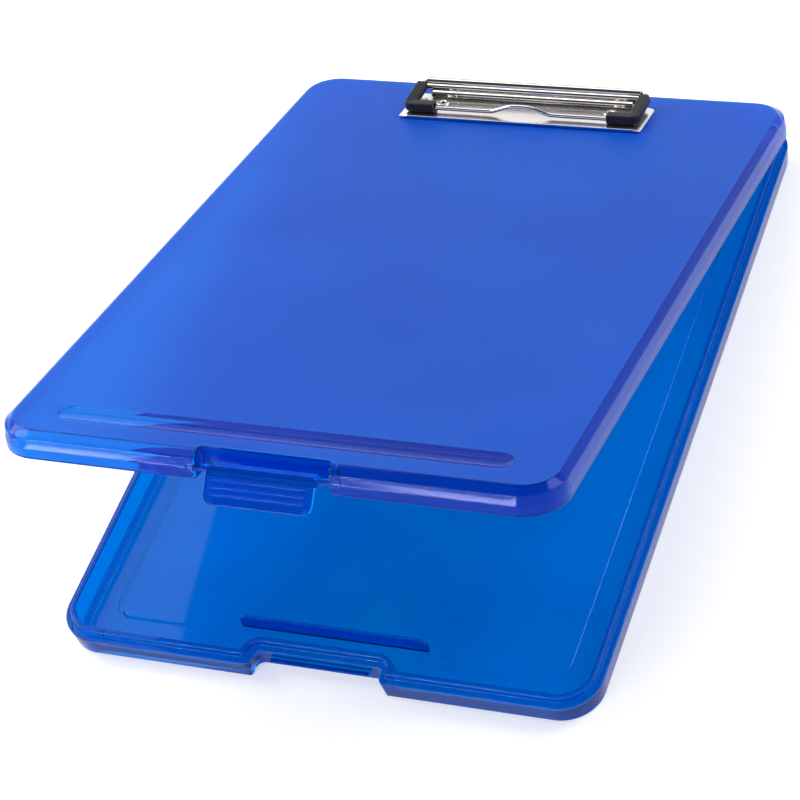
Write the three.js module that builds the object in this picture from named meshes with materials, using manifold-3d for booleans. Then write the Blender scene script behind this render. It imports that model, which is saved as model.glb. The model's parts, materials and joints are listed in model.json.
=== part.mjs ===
// A4 storage clipboard: a shallow tray with a hinged writing lid, a latch flap and a sprung bail clip.
// Millimetres, +Z up, +X to the right, +Y from the latch towards the hinge.
// Every piece is drawn with the case shut; the lid, latch and clip groups then turn to the stored pose.
import * as THREE from "three";
import { mergeVertices } from "three/addons/utils/BufferGeometryUtils.js";
import Module from "manifold-3d";

// ---- driving dimensions ----
const caseWidth = 240;
const caseLength = 337;
const cornerRadius = 18;
const gap = 0.3;
const arcSteps = 8;

const trayHeight = 10;
const trayFloor = 2;
const panelHalfWidth = 102.5;
const panelHalfLength = 149;
const panelRise = 1;
const panelCorner = 9;
const lipInset = 2.7;
const lipWidth = 2.8;
const lipRise = 3;

const lidThickness = 2.1;
const lidHeight = 11.2;
const lidBevel = 5;

const notchHalfWidth = 28.5;
const notchDepth = 7.5;
const notchCorner = 2.5;

const partitionHalfLength = 42;
const partitionTop = 10;
const partitionY = 23;
const partitionThickness = 1.6;

const grooveLength = 194;
const grooveWidth = 11;
const grooveDepth = 1.4;
const grooveY = 20;

const knuckleRadius = 3.2;
const hingeOffset = knuckleRadius + gap;
const hingeX = 70;
const middleKnuckle = 16;
const outerKnuckle = 14;
const hingePinRadius = 1.25;

const lidOpenAngle = THREE.MathUtils.degToRad(17);
const latchOpenAngle = THREE.MathUtils.degToRad(39);

const latchHalfWidth = 23;
const latchBarrel = 2.6;
const latchPlate = 2;
const latchReach = 14;
const latchPegRadius = 1.4;

const plateHalfWidth = 59.5;
const plateDepth = 24;
const plateHeight = 1.9;
const sheet = 0.8;
const leverHalfWidth = 53;
const rodRadius = 1.1;
const wireRadius = 1.0;
const springRadius = 1.9;
const rivetX = 41.5;
const rivetHead = 3.5;

// ---- places that follow from them ----
const frontY = -caseLength / 2;
const rearY = caseLength / 2;
const hingeY = rearY + hingeOffset;
const hingeZ = trayHeight + gap / 2;
const lidBottom = trayHeight + gap;
const lidTop = lidBottom + lidHeight;
const latchY = frontY + 2.2;
const latchZ = lidBottom + 4.3;
const plateFrontY = rearY - 43.7;
const plateTop = lidTop + plateHeight;
const clipY = plateFrontY + 25.6;
const clipZ = lidTop + 3.2;
const rollY = clipY - 0.2;
const rollZ = lidTop + 7.6;
const rollRadius = wireRadius + 0.4 + sheet;
const barY = plateFrontY + 5.7;
const barZ = lidTop + 3.7;
const armX = 55.2;
const rivetY = plateFrontY + 13.6;

// ---- materials ----
const caseBlue = { color: 0x1f5fd0, transparent: true, opacity: 0.82, metalness: 0 };
const frostedBlue = new THREE.MeshStandardMaterial({ ...caseBlue, roughness: 0.4 });
const glossBlue = new THREE.MeshStandardMaterial({ ...caseBlue, roughness: 0.12 });
const nickel = new THREE.MeshStandardMaterial({ color: 0xd8d4d0, roughness: 0.12, metalness: 1 });
const steel = new THREE.MeshStandardMaterial({ color: 0x9a9a9c, roughness: 0.3, metalness: 1 });
const rubber = new THREE.MeshStandardMaterial({ color: 0x2a2a30, roughness: 0.6, metalness: 0 });

// ---- solids ----
const wasm = await Module();
wasm.setup();

// A closed geometry as a manifold-3d solid.
function solid(geometry) {
  const bare = new THREE.BufferGeometry();
  const source = geometry.index ? geometry.toNonIndexed() : geometry;
  bare.setAttribute("position", source.getAttribute("position"));
  const merged = mergeVertices(bare, 1e-4);
  return new wasm.Manifold(
    new wasm.Mesh({
      numProp: 3,
      vertProperties: merged.attributes.position.array,
      triVerts: new Uint32Array(merged.index.array),
    }),
  );
}

// A solid as a named mesh.
function meshOf(name, body, material) {
  const made = body.getMesh();
  const geometry = new THREE.BufferGeometry();
  geometry.setAttribute("position", new THREE.BufferAttribute(made.vertProperties, 3));
  geometry.setIndex(new THREE.BufferAttribute(made.triVerts, 1));
  geometry.computeVertexNormals();
  const mesh = new THREE.Mesh(geometry, material);
  mesh.name = name;
  return mesh;
}

const join = (...bodies) => bodies.reduce((a, b) => a.add(b));
const cut = (body, ...tools) => tools.reduce((a, b) => a.subtract(b), body);

// A box between two corners.
function box(x0, x1, y0, y1, z0, z1) {
  const geometry = new THREE.BoxGeometry(x1 - x0, y1 - y0, z1 - z0);
  return solid(geometry.translate((x0 + x1) / 2, (y0 + y1) / 2, (z0 + z1) / 2));
}

// A round bar along X.
function barX(radius, x0, x1, y, z, sides = 24) {
  const geometry = new THREE.CylinderGeometry(radius, radius, x1 - x0, sides);
  return solid(geometry.rotateZ(Math.PI / 2).translate((x0 + x1) / 2, y, z));
}

// An outline in (y, z) carried along X.
function extrudeX(points, x0, x1) {
  const shape = new THREE.Shape(points.map(([y, z]) => new THREE.Vector2(y, z)));
  const geometry = new THREE.ExtrudeGeometry(shape, { depth: x1 - x0, bevelEnabled: false });
  const turn = new THREE.Matrix4().makeBasis(
    new THREE.Vector3(0, 1, 0),
    new THREE.Vector3(0, 0, 1),
    new THREE.Vector3(1, 0, 0),
  );
  return solid(geometry.applyMatrix4(turn).translate(x0, 0, 0));
}

// A rounded-rectangle outline in plan with radius on every corner, carried from z0 to z1.
function pad(x0, x1, y0, y1, radius, z0, z1) {
  return loft([ringOf(roundedBox(x0, x1, y0, y1, radius), z0), ringOf(roundedBox(x0, x1, y0, y1, radius), z1)]);
}

// The points of an arc, from one angle to another in quarter turns.
function arc(x, y, radius, fromQuarter, toQuarter) {
  return Array.from({ length: arcSteps + 1 }, (_, i) => {
    const angle = (fromQuarter + ((toQuarter - fromQuarter) * i) / arcSteps) * (Math.PI / 2);
    return new THREE.Vector2(x + radius * Math.cos(angle), y + radius * Math.sin(angle));
  });
}

function roundedBox(x0, x1, y0, y1, radius) {
  return [
    ...arc(x1 - radius, y0 + radius, radius, -1, 0),
    ...arc(x1 - radius, y1 - radius, radius, 0, 1),
    ...arc(x0 + radius, y1 - radius, radius, 1, 2),
    ...arc(x0 + radius, y0 + radius, radius, 2, 3),
  ];
}

// The case's plan outline, drawn in by inset on every side.
function caseOutline(inset) {
  const x = caseWidth / 2 - inset;
  const y = caseLength / 2 - inset;
  return roundedBox(-x, x, -y, y, Math.max(cornerRadius - inset, 2));
}

// The same outline with the front edge stepped in around the latch.
function notchedOutline(inset) {
  const outer = Math.max(notchCorner - inset, 0.3);
  const inner = notchCorner + inset;
  const back = notchHalfWidth - notchCorner;
  const front = frontY + inset + outer;
  const step = frontY + notchDepth - notchCorner;
  // Far inside the wall, the front edge meets the step's rounding part of the way up.
  const meeting = Math.asin(Math.max(front - step, 0) / inner);
  const start = meeting / (Math.PI / 2);
  const side = back + inner * Math.cos(meeting) + outer;
  return [
    ...arc(-side, front, outer, -1, 0),
    ...arc(-back, step, inner, 2 - start, 1),
    ...arc(back, step, inner, 1, start),
    ...arc(side, front, outer, 2, 3),
    ...caseOutline(inset),
  ];
}

// The raised middle of the tray floor, drawn in by inset.
function panelOutline(inset) {
  const x = panelHalfWidth - inset;
  const y = panelHalfLength - inset;
  return roundedBox(-x, x, -y, y, panelCorner);
}

const ringOf = (outline, z) => outline.map((p) => new THREE.Vector3(p.x, p.y, z));

// A solid skinned over rings with equal point counts, listed from the bottom up, with flat ends.
function loft(rings) {
  const count = rings[0].length;
  const vertices = rings.flat().flatMap((p) => [p.x, p.y, p.z]);
  const faces = [];
  rings.slice(1).forEach((_, level) => {
    for (let i = 0; i < count; i++) {
      const low = level * count;
      const high = low + count;
      const next = (i + 1) % count;
      faces.push(low + i, low + next, high + next, low + i, high + next, high + i);
    }
  });
  const flat = (ring) => ring.map((p) => new THREE.Vector2(p.x, p.y));
  const top = (rings.length - 1) * count;
  for (const [a, b, c] of THREE.ShapeUtils.triangulateShape(flat(rings[0]), [])) faces.push(a, c, b);
  for (const [a, b, c] of THREE.ShapeUtils.triangulateShape(flat(rings.at(-1)), []))
    faces.push(top + a, top + b, top + c);
  const geometry = new THREE.BufferGeometry();
  geometry.setAttribute("position", new THREE.Float32BufferAttribute(vertices, 3));
  geometry.setIndex(faces);
  return solid(geometry);
}

// A loft of one plan outline through a section given as [inset, z] from the bottom up.
const loftSection = (outline, section) => loft(section.map(([inset, z]) => ringOf(outline(inset), z)));

// A strip of sheet metal: a centre line in (y, z) thickened to both sides, carried along X.
function strip(line, x0, x1) {
  const side = (sign) =>
    line.map(([y, z], i) => {
      const before = line[Math.max(i - 1, 0)];
      const after = line[Math.min(i + 1, line.length - 1)];
      const along = new THREE.Vector2(after[0] - before[0], after[1] - before[1]).normalize();
      return [y - (sign * along.y * sheet) / 2, z + (sign * along.x * sheet) / 2];
    });
  return extrudeX([...side(-1), ...side(1).reverse()], x0, x1);
}

// Round wire along a curve.
function wireAlong(points, radius, steps) {
  const circle = new THREE.Shape(
    Array.from({ length: 10 }, (_, i) => {
      const angle = (i / 10) * 2 * Math.PI;
      return new THREE.Vector2(radius * Math.cos(angle), radius * Math.sin(angle));
    }),
  );
  const path = new THREE.CatmullRomCurve3(points, false, "centripetal");
  return solid(new THREE.ExtrudeGeometry(circle, { steps, extrudePath: path }));
}

const mirrored = (body) => body.mirror([1, 0, 0]);

// ---- tray ----
function trayKnuckle(x) {
  const half = middleKnuckle / 2;
  const web = [
    [rearY - 1.5, trayHeight - 5],
    [hingeY, hingeZ - knuckleRadius],
    [hingeY, hingeZ],
    [rearY - 1.5, trayHeight],
  ];
  const barrel = barX(knuckleRadius, x - half, x + half, hingeY, hingeZ);
  return join(barrel, extrudeX(web, x - half, x + half));
}

function baseTray() {
  const lipTop = trayHeight + lipRise;
  const shell = loftSection(notchedOutline, [
    [1.6, 0],
    [1.0, 0.6],
    [0, trayHeight],
    [lipInset, trayHeight],
    [lipInset + 0.2, lipTop - 0.8],
    [lipInset + 0.9, lipTop],
    [lipInset + lipWidth, lipTop],
  ]);
  const hollow = loftSection(notchedOutline, [
    [9.2, trayFloor],
    [7.4, trayFloor + 0.5],
    [6.4, trayFloor + 2],
    [lipInset + lipWidth - 0.1, lipTop + 1],
  ]);
  const panel = loftSection(panelOutline, [
    [0, trayFloor - 0.5],
    [0.6, trayFloor + panelRise],
  ]);
  const recess = loftSection(panelOutline, [
    [1, -1],
    [1.6, panelRise],
  ]);
  const wallY = frontY + partitionY;
  const halfLength = partitionHalfLength;
  const partition = box(-halfLength, halfLength, wallY, wallY + partitionThickness, trayFloor / 2, partitionTop);
  const catchY = frontY + notchDepth;
  const catchRidge = extrudeX([[catchY + 1, 4.2], [catchY + 1, 6.8], [catchY - 2, 6], [catchY - 2, 5]], -22, 22);
  const pinHole = (x) => barX(hingePinRadius + gap, x - middleKnuckle, x + middleKnuckle, hingeY, hingeZ);
  const body = join(
    cut(shell, hollow),
    panel,
    partition,
    catchRidge,
    trayKnuckle(-hingeX),
    trayKnuckle(hingeX),
  );
  return meshOf("base_tray", cut(body, recess, pinHole(-hingeX), pinHole(hingeX)), glossBlue);
}

function hingePin(name, x) {
  const half = middleKnuckle / 2 + gap + outerKnuckle - 1;
  return meshOf(name, barX(hingePinRadius, x - half, x + half, hingeY, hingeZ), steel);
}

// ---- lid ----
function lidKnuckle(x0, x1) {
  const web = [
    [hingeY, hingeZ],
    [hingeY, hingeZ + knuckleRadius],
    [rearY - 1.5, lidBottom + 5.2],
    [rearY - 1.5, lidBottom],
  ];
  return join(barX(knuckleRadius, x0, x1, hingeY, hingeZ), extrudeX(web, x0, x1));
}

function lidKnuckles(x) {
  const inner = middleKnuckle / 2 + gap;
  const pair = [lidKnuckle(x - inner - outerKnuckle, x - inner), lidKnuckle(x + inner, x + inner + outerKnuckle)];
  return join(...pair);
}

function lidPanel() {
  const shell = loftSection(caseOutline, [
    [0.5, lidBottom],
    [0, lidBottom + 0.7],
    [0, lidTop - 7.4],
    [0.3, lidTop - 4.9],
    [1.2, lidTop - 2.6],
    [2.8, lidTop - 0.9],
    [lidBevel, lidTop],
  ]);
  const ceiling = lidTop - lidThickness;
  const hollow = loftSection(caseOutline, [
    [2.1, lidBottom - 1],
    [2.1, lidTop - 6],
    [2.9, ceiling - 1.6],
    [4.6, ceiling - 0.3],
    [6.5, ceiling],
  ]);
  const wall = 2;
  const notchBack = frontY + notchDepth;
  const half = notchHalfWidth;
  const notchLiner = pad(-half - wall, half + wall, frontY + 1.5, notchBack + wall, 3, lidBottom, lidTop - 1);
  const notch = pad(-half, half, frontY - 6, notchBack, notchCorner, lidBottom - 1, lidTop + 1);
  const pegHoles = barX(latchPegRadius + gap, -half - 2 * wall, half + 2 * wall, latchY, latchZ);
  const grooveEnd = (grooveWidth / 2) * 0.98;
  const side = grooveLength / 2;
  const y0 = frontY + grooveY - grooveWidth / 2;
  const y1 = y0 + grooveWidth;
  const groove = pad(-side, side, y0, y1, grooveEnd, lidTop - grooveDepth, lidTop + 1);
  const grooveBoss = pad(-side - 1.5, side + 1.5, y0 - 1.5, y1 + 1.5, grooveEnd + 1.5, ceiling - grooveDepth, ceiling + 0.5);
  const rivetHole = (x) => shaftZ(2 + gap, lidBottom, lidTop + 1, x, rivetY);
  const pinHoles = (x) => barX(hingePinRadius + gap, x - 30, x + 30, hingeY, hingeZ);
  const body = join(cut(shell, hollow), notchLiner, grooveBoss, lidKnuckles(-hingeX), lidKnuckles(hingeX));
  const holes = [rivetHole(-rivetX), rivetHole(rivetX), pinHoles(-hingeX), pinHoles(hingeX)];
  return meshOf("lid_panel", cut(body, notch, pegHoles, groove, ...holes), frostedBlue);
}

// A round bar along Z.
function shaftZ(radius, z0, z1, x, y, sides = 24) {
  const geometry = new THREE.CylinderGeometry(radius, radius, z1 - z0, sides);
  return solid(geometry.rotateX(Math.PI / 2).translate(x, y, (z0 + z1) / 2));
}

// ---- latch ----
function latchFlap() {
  const half = latchHalfWidth;
  const face = latchY - latchBarrel;
  const foot = latchZ - latchReach;
  const plate = [
    [face, latchZ],
    [face, foot + 1],
    [face + 0.8, foot],
    [face + 6.2, foot],
    [face + 6.2, foot + 2.2],
    [face + latchPlate, foot + 3],
    [face + latchPlate, latchZ],
  ];
  const ribs = [4.2, 7.4, 10.6].map((drop) =>
    barX(0.6, -half + 3, half - 3, face + 0.2, latchZ - drop, 12),
  );
  const barrel = barX(latchBarrel, -half, half, latchY, latchZ);
  const pegs = barX(latchPegRadius, -notchHalfWidth - 1.6, notchHalfWidth + 1.6, latchY, latchZ);
  return meshOf("latch_flap", join(barrel, pegs, extrudeX(plate, -half, half), ...ribs), glossBlue);
}

// ---- clip, fixed pieces ----
function clipBasePlate() {
  const half = plateHalfWidth;
  const y1 = plateFrontY + plateDepth;
  const layer = (slope, front, z) => ringOf(roundedBox(-half + slope, half - slope, plateFrontY + front, y1 - front, 1.5), z);
  const outer = loft([layer(0, 0, lidTop + gap), layer(0.2, 0.1, lidTop + 0.9), layer(3.6, 0.9, plateTop)]);
  const under = loft([layer(sheet, sheet, lidTop), layer(4.2, 1.6, plateTop - sheet)]);
  const earX = 50.2;
  const tongueEnd = clipY + 4.5;
  const tongue = box(-earX - sheet, earX + sheet, y1 - 2, tongueEnd, lidTop + gap, lidTop + gap + sheet);
  const earTop = arc(clipY, clipZ, 2.2, 0, 2).map((p) => [p.x, p.y]);
  const earLine = [[clipY - 2.6, lidTop + gap], [clipY + 2.6, lidTop + gap], ...earTop];
  const ear = extrudeX(earLine, earX, earX + sheet);
  const rodHole = barX(rodRadius + gap, -half, half, clipY, clipZ);
  const rivetHole = (x) => shaftZ(2 + gap, lidTop, plateTop + 1, x, rivetY);
  const body = join(cut(outer, under), tongue, ear, mirrored(ear));
  return meshOf("clip_base_plate", cut(body, rodHole, rivetHole(-rivetX), rivetHole(rivetX)), nickel);
}

function clipPivotRod() {
  return meshOf("clip_pivot_rod", barX(rodRadius, -52.2, 52.2, clipY, clipZ), steel);
}

function clipSpring(name, x) {
  const half = 7;
  const coil = cut(
    barX(springRadius, x - half, x + half, clipY, clipZ),
    barX(rodRadius + gap, x - 2 * half, x + 2 * half, clipY, clipZ),
  );
  return meshOf(name, coil, steel);
}

// A hollow rivet, head up, set through the plate, the lid and a washer.
function clipRivet(name, x) {
  const bore = 1.2;
  const shank = 2;
  const head = plateTop + gap;
  const tail = lidTop - lidThickness - 2 * gap - sheet;
  const profile = [
    [bore, tail - 0.8],
    [rivetHead - 0.6, tail - 0.8],
    [rivetHead, tail],
    [shank, tail],
    [shank, head],
    [rivetHead, head],
    [rivetHead - 0.5, head + 0.7],
    [bore + 0.5, head + 0.9],
    [bore, head + 0.5],
    [bore, tail - 0.8],
  ].map(([r, z]) => new THREE.Vector2(r, z));
  const geometry = new THREE.LatheGeometry(profile, 24).rotateX(Math.PI / 2);
  return meshOf(name, solid(geometry.translate(x, rivetY, 0)), nickel);
}

function rivetWasher(name, x) {
  const z1 = lidTop - lidThickness - gap;
  const z0 = z1 - sheet;
  const washer = cut(shaftZ(4.5, z0, z1, x, rivetY), shaftZ(2 + gap, z0 - 1, z1 + 1, x, rivetY));
  return meshOf(name, washer, nickel);
}

// ---- clip, moving pieces ----
function clipLever() {
  const foot = plateTop + gap + 0.1;
  const rise = rollZ - foot;
  const rolled = rollRadius - sheet / 2;
  const front = Array.from({ length: 13 }, (_, i) => {
    const t = i / 12;
    const wave = 0.35 * Math.sin(t * 4 * Math.PI - Math.PI / 2);
    return [clipY - 5.2 + t * (5 - rolled) - wave * 0.8, foot + t * rise + wave * 0.4];
  });
  const roll = Array.from({ length: 12 }, (_, i) => {
    const angle = Math.PI - ((i + 1) / 12) * 1.55 * Math.PI;
    return [rollY + rolled * Math.cos(angle), rollZ + rolled * Math.sin(angle)];
  });
  const cheekLine = [
    [clipY - 4.9, foot],
    [clipY - 1.4, foot],
    [clipY + 0.9, clipZ - 1.7],
    [clipY + 2.2, clipZ],
    [clipY + 1.6, clipZ + 2],
    [clipY - 2.6, rollZ - 1],
  ];
  const cheek = extrudeX(cheekLine, 48.6, 48.6 + sheet);
  const face = strip([...front, ...roll], -leverHalfWidth, leverHalfWidth);
  // The face is narrower than the roll below it, so that it passes between the ears.
  const earRoom = box(49.6, 60, clipY - 7, clipY + 3, lidTop, clipZ + 2.4);
  const body = join(cut(face, earRoom, mirrored(earRoom)), cheek, mirrored(cheek));
  return meshOf("clip_lever", cut(body, barX(rodRadius + gap, -60, 60, clipY, clipZ)), nickel);
}

// The bail's line from its middle to its end inside the lever's roll, on the right-hand side.
function bailHalf() {
  const bend = 1.6;
  const at = (x, y, z) => new THREE.Vector3(x, y, z);
  const slope = (rollZ - barZ) / (rollY - barY);
  return [
    at(0, barY, barZ + 3.2),
    at(5, barY, barZ + 2.9),
    at(10, barY, barZ + 1.4),
    at(14, barY, barZ + 0.2),
    at(18, barY, barZ),
    at(36, barY, barZ),
    at(armX - 2 * bend, barY, barZ),
    at(armX - 0.5 * bend, barY + 0.3 * bend, barZ + 0.3 * bend * slope),
    at(armX, barY + 1.6 * bend, barZ + 1.6 * bend * slope),
    at(armX, (barY + rollY) / 2, (barZ + rollZ) / 2),
    at(armX, rollY - 1.6, rollZ - 1.6 * slope),
    at(armX - 0.5, rollY - 0.3, rollZ - 0.1),
    at(armX - 1.8, rollY, rollZ),
    at(armX - 10, rollY, rollZ),
    at(armX - 25, rollY, rollZ),
  ];
}

function bailLine() {
  const right = bailHalf();
  const left = right.slice(1).reverse().map((p) => new THREE.Vector3(-p.x, p.y, p.z));
  return [...left, ...right];
}

const clipBail = () => meshOf("clip_bail_wire", wireAlong(bailLine(), wireRadius, 110), nickel);

// A soft sleeve round one front corner of the bail and up its arm, drawn on the right-hand side.
function gripCorner(name, left) {
  const low = plateTop + gap;
  const high = low + 4.3;
  const outside = armX + 2.3;
  const rearEnd = rollY - 2.5;
  const slope = (rollZ - barZ) / (rollY - barY);
  const lift = (rearEnd - barY) * slope;
  const frontArm = pad(outside - 15, outside, barY - 2.4, barY + 2.6, 1.4, low, high);
  const sideLine = [
    [barY - 2.4, low],
    [barY + 2.6, low],
    [rearEnd, low + lift],
    [rearEnd, high + lift],
    [barY + 1, high],
    [barY - 2.4, high],
  ];
  const sideArm = extrudeX(sideLine, armX - 2.3, outside);
  const trimmed = join(frontArm, sideArm).intersect(
    pad(outside - 15, outside, barY - 2.4, rearEnd, 1.4, low - 1, high + lift + 1),
  );
  const rollRoom = box(0, leverHalfWidth + gap, rollY - 6, rearEnd + 1, plateTop, rollZ + 5);
  const sleeve = cut(trimmed, rollRoom, wireAlong(bailLine(), wireRadius + gap, 110));
  return meshOf(name, left ? mirrored(sleeve) : sleeve, rubber);
}

// ---- assembly ----

// A group that turns its pieces about an axis along X through (y, z), front edge up for a positive angle.
function turned(y, z, angle, ...pieces) {
  const pivot = new THREE.Group();
  const shut = new THREE.Group();
  pivot.position.set(0, y, z);
  pivot.rotation.x = -angle;
  shut.position.set(0, -y, -z);
  shut.add(...pieces);
  pivot.add(shut);
  return pivot;
}

const latch = turned(latchY, latchZ, latchOpenAngle, latchFlap());
const jaw = turned(
  clipY,
  clipZ,
  0,
  clipLever(),
  clipBail(),
  gripCorner("grip_corner_left", true),
  gripCorner("grip_corner_right", false),
);
const lid = turned(
  hingeY,
  hingeZ,
  lidOpenAngle,
  lidPanel(),
  clipBasePlate(),
  clipPivotRod(),
  clipSpring("clip_spring_left", -27),
  clipSpring("clip_spring_right", 27),
  clipRivet("clip_rivet_left", -rivetX),
  clipRivet("clip_rivet_right", rivetX),
  rivetWasher("rivet_washer_left", -rivetX),
  rivetWasher("rivet_washer_right", rivetX),
  latch,
  jaw,
);

const clipboard = new THREE.Group();
clipboard.add(baseTray(), hingePin("hinge_pin_left", -hingeX), hingePin("hinge_pin_right", hingeX), lid);
// The origin is under the middle of the whole length, from the front face to the back of the knuckles.
clipboard.position.y = -(hingeOffset + knuckleRadius) / 2;

export default clipboard;
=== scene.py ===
"""The A4 storage clipboard's looks, built round its stored frame.

Shapes are drawn in millimetres with the case shut, in the frame's own axes. Each piece is then turned with
its body to the stored pose: the lid ajar, the latch flap hanging open, the clip closed.
"""

import math

import bmesh
import bpy
from mathutils import Matrix, Vector
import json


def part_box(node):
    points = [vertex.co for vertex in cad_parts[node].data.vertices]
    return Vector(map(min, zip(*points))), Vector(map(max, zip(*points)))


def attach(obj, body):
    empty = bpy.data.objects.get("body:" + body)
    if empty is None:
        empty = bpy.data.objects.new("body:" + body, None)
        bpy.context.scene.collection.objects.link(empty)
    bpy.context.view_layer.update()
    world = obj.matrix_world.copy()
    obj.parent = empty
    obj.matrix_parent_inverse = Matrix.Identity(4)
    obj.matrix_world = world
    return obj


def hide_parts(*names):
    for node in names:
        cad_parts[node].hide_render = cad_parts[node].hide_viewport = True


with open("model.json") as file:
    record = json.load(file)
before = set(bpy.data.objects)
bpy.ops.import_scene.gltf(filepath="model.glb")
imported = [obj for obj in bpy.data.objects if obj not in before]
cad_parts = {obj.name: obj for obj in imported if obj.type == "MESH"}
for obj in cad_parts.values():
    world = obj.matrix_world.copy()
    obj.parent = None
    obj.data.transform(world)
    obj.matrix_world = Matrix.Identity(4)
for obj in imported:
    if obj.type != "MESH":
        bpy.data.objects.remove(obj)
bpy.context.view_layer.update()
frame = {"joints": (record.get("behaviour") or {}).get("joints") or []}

# ---- places that come from the frame, in millimetres, for the shut case ----
MM = 0.001
GAP = 0.3
joints = {joint["name"]: joint for joint in frame["joints"]}


def joint_place(name):
    return Vector(joints[name]["pos_m"]) / MM


def opening_angle(name):
    """How far a joint stands open at rest: its lower limit is the shut case."""
    return math.radians(-joints[name]["range_deg"][0])


def turned(place, angle):
    """Turns about an axis along X through place, front edge up for a positive angle."""
    pivot = Matrix.Translation((0, place.y, place.z))
    return pivot @ Matrix.Rotation(-angle, 4, "X") @ pivot.inverted()


tray_low, tray_high = (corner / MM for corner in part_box("base_tray"))
hinge = joint_place("lid_hinge")
LID = turned(hinge, opening_angle("lid_hinge"))
latch = LID.inverted() @ joint_place("latch_pivot")
clip = LID.inverted() @ joint_place("clip_pivot")
LATCH = LID @ turned(latch, opening_angle("latch_pivot"))
BASE = Matrix.Identity(4)

HALF_WIDTH = tray_high.x
KNUCKLE_RADIUS = tray_high.z - hinge.z
FRONT = tray_low.y
REAR = hinge.y - KNUCKLE_RADIUS - GAP
MIDDLE = (FRONT + REAR) / 2
HALF_LENGTH = (REAR - FRONT) / 2
RIM = hinge.z - GAP / 2
LID_BOTTOM = RIM + GAP

# ---- sizes of the tray and lid, in millimetres ----
CORNER = 18
CORNER_STEPS = 24
FLOOR = 2
LIP_RISE = 3
PANEL_HALF_WIDTH = 102.5
PANEL_HALF_LENGTH = 149
PANEL_CORNER = 9
PANEL_RISE = 1
PARTITION_HALF = 42
PARTITION_Y = FRONT + 23
PARTITION_THICKNESS = 1.6
WALL_RIB_PLACES = (-98, -71, 98)
WALL_RIB_RADIUS = 0.7
CATCH_HALF = 22
NOTCH_HALF = 28.5
NOTCH_DEPTH = 7.5
NOTCH_BACK = FRONT + NOTCH_DEPTH
NOTCH_CORNER = 2.5
NOTCH_FLARE = 1.8
NOTCH_WALL = 2
LID_HEIGHT = 11.2
LID_TOP = LID_BOTTOM + LID_HEIGHT
LID_THICKNESS = 2.1
BEVEL_SIDE = 3.9
BEVEL_FRONT = 5.5
BEVEL_DROP = 6.8
GROOVE_HALF = 97
GROOVE_WIDTH = 11
GROOVE_DEPTH = 1.4
GROOVE_Y = FRONT + 20
HINGE_X = 70
MIDDLE_KNUCKLE = 16
OUTER_KNUCKLE = 14
PIN_RADIUS = 1.25
WEB_ROOT = REAR - 1.5

# ---- sizes of the latch flap, in millimetres ----
FLAP_HALF = 23
FLAP_DROP = 14
FLAP_THICKNESS = 2
FLAP_CORNER = 3.8
FLAP_BARREL_RADIUS = 2.6
FLAP_RIB_RADIUS = 0.6
FLAP_RIB_DROPS = (4.2, 7.0, 9.8)
HOOK_REACH = 6.2
PEG_RADIUS = 1.4

# ---- sizes of the clip, in millimetres ----
SHEET = 0.8
PLATE_HALF = 59.5
PLATE_DEPTH = 24
PLATE_RISE = 1.9
PLATE_FRONT = clip.y - 25.6
PLATE_TOP = LID_TOP + PLATE_RISE
EAR_X = 50.2
EAR_RADIUS = 2.2
LEVER_HALF = 53
CHEEK_X = 48.6
ROD_RADIUS = 1.1
ROD_HALF = 52.2
WIRE_RADIUS = 1.0
SPRING_X = 27
SPRING_HALF = 6.4
SPRING_TURNS = 15
SPRING_RADIUS = 1.9
SPRING_WIRE = 0.36
RIVET_X = 41.5
RIVET_Y = PLATE_FRONT + 13.6
RIVET_HEAD = 3.5
RIVET_SHANK = 2
RIVET_BORE = 1.2
WASHER_RADIUS = 4.5
ROLL = Vector((0, clip.y - 0.2, LID_TOP + 7.6))
ROLL_RADIUS = WIRE_RADIUS + 0.4 + SHEET
BAR = Vector((0, PLATE_FRONT + 5.7, LID_TOP + 3.7))
BAIL_SLOPE = (ROLL.z - BAR.z) / (ROLL.y - BAR.y)
ARM_X = 55.2
SLEEVE_REACH = 12.6
SLEEVE_HALF_WIDTH = 2.5
SLEEVE_HALF_HEIGHT = 2.25


# ---- mesh tools ----
class Skin:
    """A closed surface made ring by ring."""

    def __init__(self):
        self.bm = bmesh.new()

    def ring(self, points):
        return [self.bm.verts.new(point) for point in points]

    def bridge(self, a, b):
        for i in range(len(a)):
            j = (i + 1) % len(a)
            self.bm.faces.new((a[i], a[j], b[j], b[i]))

    def rings(self, outlines):
        """Skins a list of point rings with equal counts, and returns their vertices."""
        made = [self.ring(points) for points in outlines]
        for a, b in zip(made, made[1:]):
            self.bridge(a, b)
        return made

    def fill(self, *loops):
        """Fills the flat area inside the first loop and outside the others."""
        edges = []
        for loop in loops:
            for i, a in enumerate(loop):
                b = loop[(i + 1) % len(loop)]
                edges.append(self.bm.edges.get((a, b)) or self.bm.edges.new((a, b)))
        bmesh.ops.triangle_fill(self.bm, use_beauty=True, use_dissolve=False, edges=edges)

    def cap(self, loop):
        self.bm.faces.new(loop)

    def made(self, name="tool"):
        bmesh.ops.recalc_face_normals(self.bm, faces=self.bm.faces)
        mesh = bpy.data.meshes.new(name)
        self.bm.to_mesh(mesh)
        self.bm.free()
        piece = bpy.data.objects.new(name, mesh)
        bpy.context.scene.collection.objects.link(piece)
        return piece


def settle(piece):
    """Applies a piece's modifiers."""
    graph = bpy.context.evaluated_depsgraph_get()
    mesh = bpy.data.meshes.new_from_object(piece.evaluated_get(graph))
    piece.modifiers.clear()
    piece.data = mesh
    return piece


def combine(piece, operation, *tools):
    """Joins tools to a piece, or cuts them out of it, and removes them."""
    for tool in tools:
        step = piece.modifiers.new("combine", "BOOLEAN")
        step.operation = operation
        step.solver = "EXACT"
        step.object = tool
        settle(piece)
        bpy.data.objects.remove(tool)
    return piece


def join(piece, *tools):
    return combine(piece, "UNION", *tools)


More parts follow.
